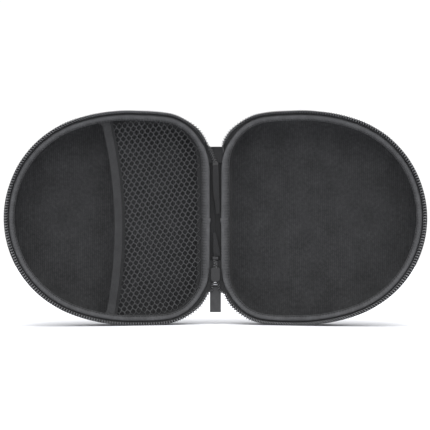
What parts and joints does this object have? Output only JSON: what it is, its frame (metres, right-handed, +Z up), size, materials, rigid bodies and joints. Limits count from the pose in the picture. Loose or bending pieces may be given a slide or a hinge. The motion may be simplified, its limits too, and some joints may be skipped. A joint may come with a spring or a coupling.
{
  "type": "headphone carrying case",
  "caption": "Open hard clamshell case with two D-shaped foam halves on a fabric spine, a zip round the rims and a net pocket.",
  "frame": {"origin": "middle of the bounding box's underside, on the plane that the two flanks stand on", "axes": "+Z up along the fold axes, -Y the side that the open cavities face, X across both halves with the pocket at -X"},
  "size_m": [0.3748, 0.0752, 0.192],
  "materials": {
    "cover_fabric": "matt woven polyester laminated to the foam",
    "foam": "moulded closed-cell foam",
    "lining_knit": "fine ribbed knit",
    "binding_ribbon": "folded woven ribbon",
    "zip_tape_weave": "herringbone tape",
    "zip_nylon": "satin coil",
    "net_thread": "knitted hexagonal net",
    "elastic_band": "ribbed woven elastic",
    "painted_zinc": "satin black paint",
    "bright_steel": "bright plated wire",
    "pull_rubber": "moulded, fine texture"
  },
  "bodies": {
    "spine": {"spine_cover": "cover_fabric", "spine_core": "foam", "spine_lining": "lining_knit", "lower_chain_end": "zip_nylon", "upper_chain_end": "zip_nylon", "lower_stop": "painted_zinc", "upper_stop": "painted_zinc", "lower_tape_end": "zip_tape_weave", "upper_tape_end": "zip_tape_weave"},
    "left_half": {"left_cover": "cover_fabric", "left_core": "foam", "left_lining": "lining_knit", "left_binding": "binding_ribbon", "left_zip_tape": "zip_tape_weave", "left_zip_coil": "zip_nylon", "pocket_net": "net_thread", "pocket_hem": "binding_ribbon", "pocket_elastic": "elastic_band"},
    "right_half": {"right_cover": "cover_fabric", "right_core": "foam", "right_lining": "lining_knit", "right_binding": "binding_ribbon", "right_zip_tape": "zip_tape_weave", "right_zip_coil": "zip_nylon"},
    "slider": {"slider_body": "painted_zinc"},
    "link": {"pull_link": "bright_steel"},
    "tab": {"pull_tab": "pull_rubber"}
  },
  "joints": [
    {"name": "left_fold", "type": "hinge", "parent": "spine", "child": "left_half", "pos_m": [-0.006, 0.01159, 0.096], "axis": [0, 0, 1], "range_deg": [-14, 76]},
    {"name": "right_fold", "type": "hinge", "parent": "spine", "child": "right_half", "pos_m": [0.006, 0.01159, 0.096], "axis": [0, 0, -1], "range_deg": [-14, 76]},
    {"name": "slider_travel", "type": "slide", "parent": "spine", "child": "slider", "axis": [0, 0, 1], "range_m": [-0.008, 0]},
    {"name": "link_swing", "type": "hinge", "parent": "slider", "child": "link", "pos_m": [0, 0.01184, 0.0425], "axis": [1, 0, 0], "range_deg": [0, 110]},
    {"name": "tab_swing", "type": "hinge", "parent": "link", "child": "tab", "pos_m": [0, 0.01184, 0.0359], "axis": [1, 0, 0], "range_deg": [0, 70]}
  ]
}
